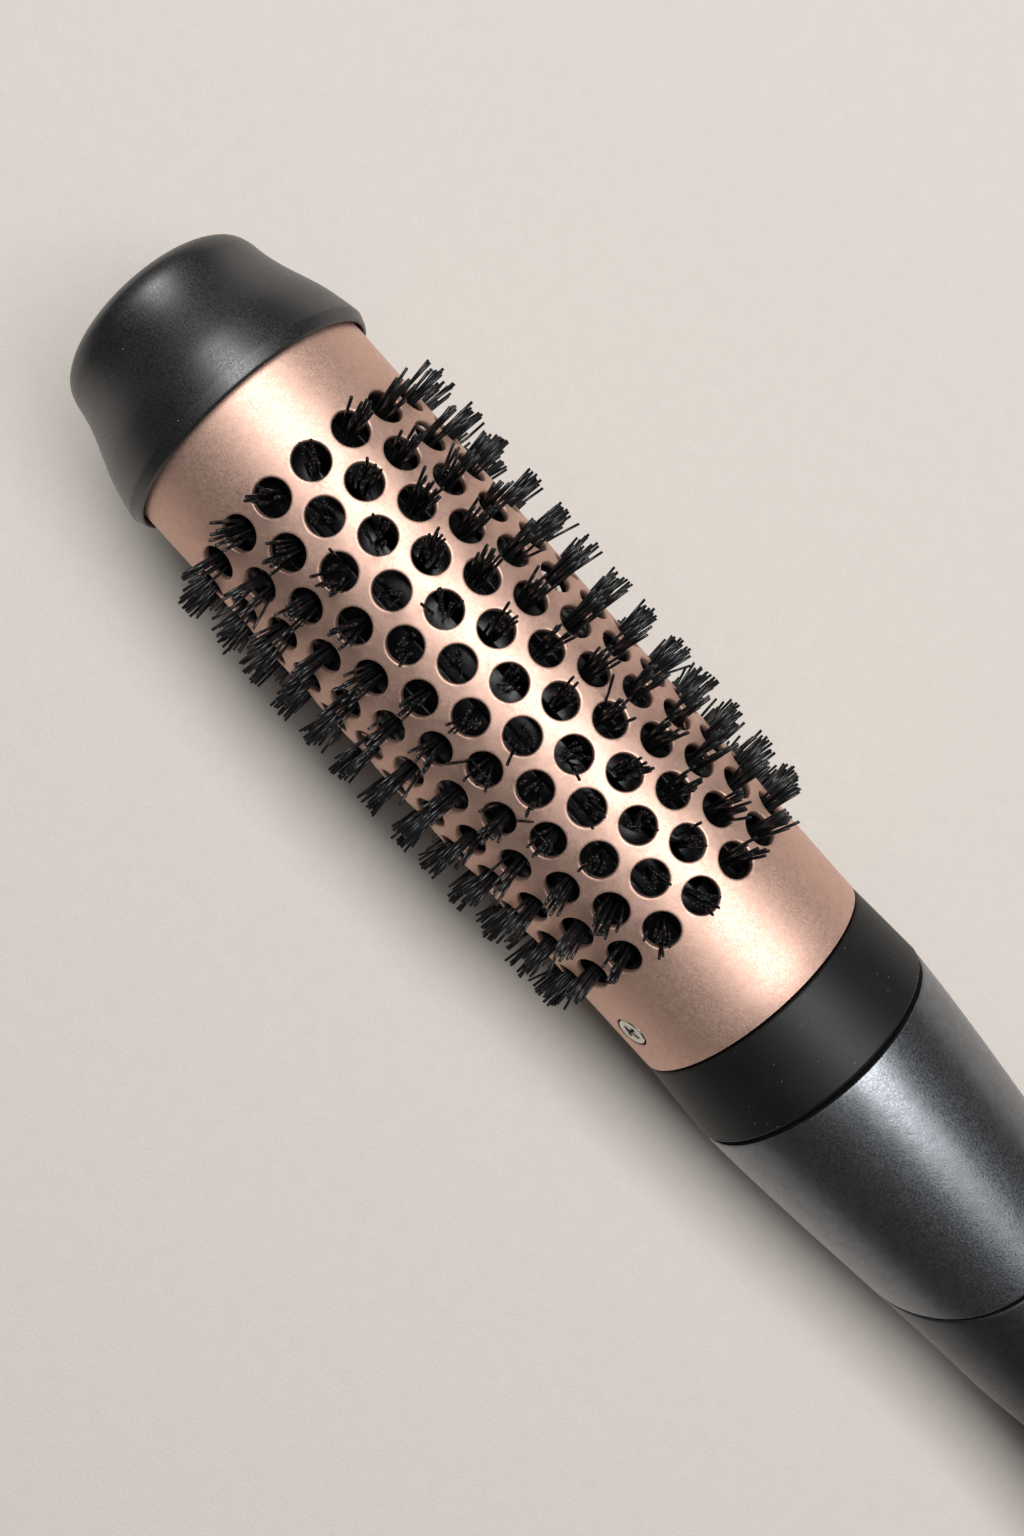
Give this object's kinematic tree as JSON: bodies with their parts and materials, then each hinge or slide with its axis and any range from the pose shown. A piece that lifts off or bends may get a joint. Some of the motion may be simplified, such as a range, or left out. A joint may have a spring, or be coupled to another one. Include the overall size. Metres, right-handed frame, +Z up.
{
  "type": "hot air brush",
  "caption": "Round hot air brush with a perforated rose gold barrel, nylon tufts, a black cool tip, a twist-lock ring and a waisted gunmetal handle.",
  "frame": {"origin": "centre of the footprint, on the surface that the brush lies on", "axes": "+X along the brush towards the cool tip, +Z up, +Y towards the control panel"},
  "size_m": [0.3084, 0.0488, 0.048],
  "materials": {
    "soft_black": "soft-touch satin, fine speckle",
    "rose_gold": "anodised and bead-blasted, satin",
    "gunmetal": "metallic paint over a fine grained moulding, satin",
    "gunmetal_grip": "metallic paint over a fine grained moulding, duller",
    "dark_plastic": "fine spark-eroded texture",
    "tuft_nylon": "drawn nylon filament, glossy",
    "screw_steel": "nickel plated",
    "plain_steel": "drawn steel",
    "filter_mesh": "woven steel mesh",
    "silicone": "moulded silicone",
    "mica": "pressed mica board",
    "heating_wire": "oxidised resistance wire",
    "board": "solder mask",
    "armature_iron": "laminated iron with enamelled copper",
    "fan_plastic": "glass filled nylon"
  },
  "bodies": {
    "handle": {"front_casing": "gunmetal", "nozzle": "dark_plastic", "nozzle_seal": "silicone", "outlet_grille": "plain_steel", "heater_sleeve": "mica", "heater_frame": "mica", "heater_coil": "heating_wire", "thermal_cutout": "plain_steel", "thermal_fuse": "plain_steel", "grip_upper": "gunmetal_grip", "grip_lower": "gunmetal_grip", "control_panel": "dark_plastic", "circuit_board": "board", "slide_switch": "dark_plastic", "cool_switch": "dark_plastic", "cool_spring": "plain_steel", "shell_screw_1": "screw_steel", "shell_screw_2": "screw_steel", "motor_housing": "gunmetal", "motor_mount": "dark_plastic", "motor_can": "plain_steel", "motor_cap": "dark_plastic", "rear_frame": "dark_plastic"},
    "head": {"cool_tip": "soft_black", "tip_plug": "dark_plastic", "tip_screw": "screw_steel", "barrel": "rose_gold", "bristle_core": "dark_plastic", "head_base": "dark_plastic", "ring_clip": "plain_steel", "barrel_screw_1": "screw_steel", "barrel_screw_2": "screw_steel", "bristle_strip_01": "tuft_nylon", "bristle_strip_02": "tuft_nylon", "bristle_strip_03": "tuft_nylon", "bristle_strip_04": "tuft_nylon", "bristle_strip_05": "tuft_nylon", "bristle_strip_06": "tuft_nylon", "bristle_strip_07": "tuft_nylon", "bristle_strip_08": "tuft_nylon", "bristle_strip_09": "tuft_nylon", "bristle_strip_10": "tuft_nylon", "bristle_strip_11": "tuft_nylon", "bristle_strip_12": "tuft_nylon", "bristle_strip_13": "tuft_nylon", "bristle_strip_14": "tuft_nylon", "bristle_strip_15": "tuft_nylon", "bristle_strip_16": "tuft_nylon", "bristle_strip_17": "tuft_nylon", "bristle_strip_18": "tuft_nylon"},
    "twist_ring": {"twist_ring": "soft_black"},
    "slider": {"speed_slider": "soft_black"},
    "button": {"cool_button": "soft_black"},
    "rotor": {"motor_shaft": "plain_steel", "armature": "armature_iron", "impeller": "fan_plastic"},
    "gland": {"cord_gland": "soft_black"},
    "cover": {"intake_cover": "dark_plastic", "intake_filter": "filter_mesh"}
  },
  "joints": [
    {"name": "head_pull", "type": "slide", "parent": "handle", "child": "head", "axis": [1, 0, 0], "range_m": [0, 0.04]},
    {"name": "ring_twist", "type": "hinge", "parent": "head", "child": "twist_ring", "pos_m": [0.02561, 0, 0.024], "axis": [1, 0, 0], "range_deg": [0, 30]},
    {"name": "speed_slide", "type": "slide", "parent": "handle", "child": "slider", "axis": [1, 0, 0], "range_m": [0, 0.01]},
    {"name": "cool_press", "type": "slide", "parent": "handle", "child": "button", "axis": [0, -1, 0], "range_m": [0, 0.0012], "stiffness_N_per_m": 1200, "springref_m": -0.0006, "deforming": ["cool_spring"]},
    {"name": "rotor_spin", "type": "hinge", "parent": "handle", "child": "rotor", "pos_m": [-0.11121, 0, 0.024], "axis": [1, 0, 0], "continuous": true},
    {"name": "gland_swivel", "type": "hinge", "parent": "handle", "child": "gland", "pos_m": [-0.14021, 0, 0.024], "axis": [1, 0, 0], "continuous": true},
    {"name": "cover_pull", "type": "slide", "parent": "handle", "child": "cover", "axis": [-1, 0, 0], "range_m": [0, 0.016]}
  ]
}
